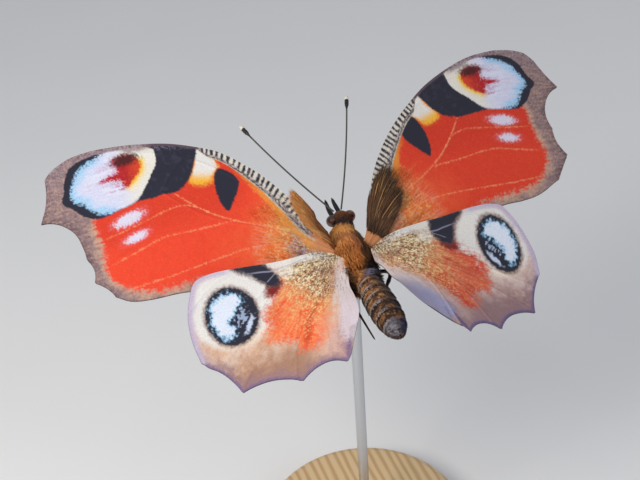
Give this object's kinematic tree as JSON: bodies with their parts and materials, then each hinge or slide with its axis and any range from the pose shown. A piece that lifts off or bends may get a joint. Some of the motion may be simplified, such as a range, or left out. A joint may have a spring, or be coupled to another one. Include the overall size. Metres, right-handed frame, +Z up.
{
  "type": "butterfly model",
  "caption": "Peacock butterfly with spread, eye-marked wings, held in flight on a rod above a round base.",
  "frame": {"origin": "centre of the stand base's underside", "axes": "+Z up, +Y to the front of the butterfly, +X to its right"},
  "size_m": [0.0547, 0.0326, 0.0504],
  "materials": {
    "fur": "dense brown hair",
    "horn": "dark horny skin with fine scales",
    "eye": "glossy dark brown",
    "forewing_scales": "matt red scales with an eye mark",
    "hindwing_scales": "matt rust and tan scales with an eye mark",
    "wood": "pale turned wood, satin",
    "steel": "plain bright rod"
  },
  "bodies": {
    "root": {"head": "fur", "eye_left": "eye", "eye_right": "eye", "palp_left": "horn", "palp_right": "horn", "proboscis": "horn", "antenna_left": "horn", "antenna_right": "horn", "thorax": "fur", "abdomen": "fur", "forewing_left": "forewing_scales", "forewing_right": "forewing_scales", "hindwing_left": "hindwing_scales", "hindwing_right": "hindwing_scales", "foreleg_left": "horn", "foreleg_right": "horn", "midleg_left": "horn", "midleg_right": "horn", "hindleg_left": "horn", "hindleg_right": "horn", "stand_base": "wood", "stand_rod": "steel"}
  },
  "joints": []
}
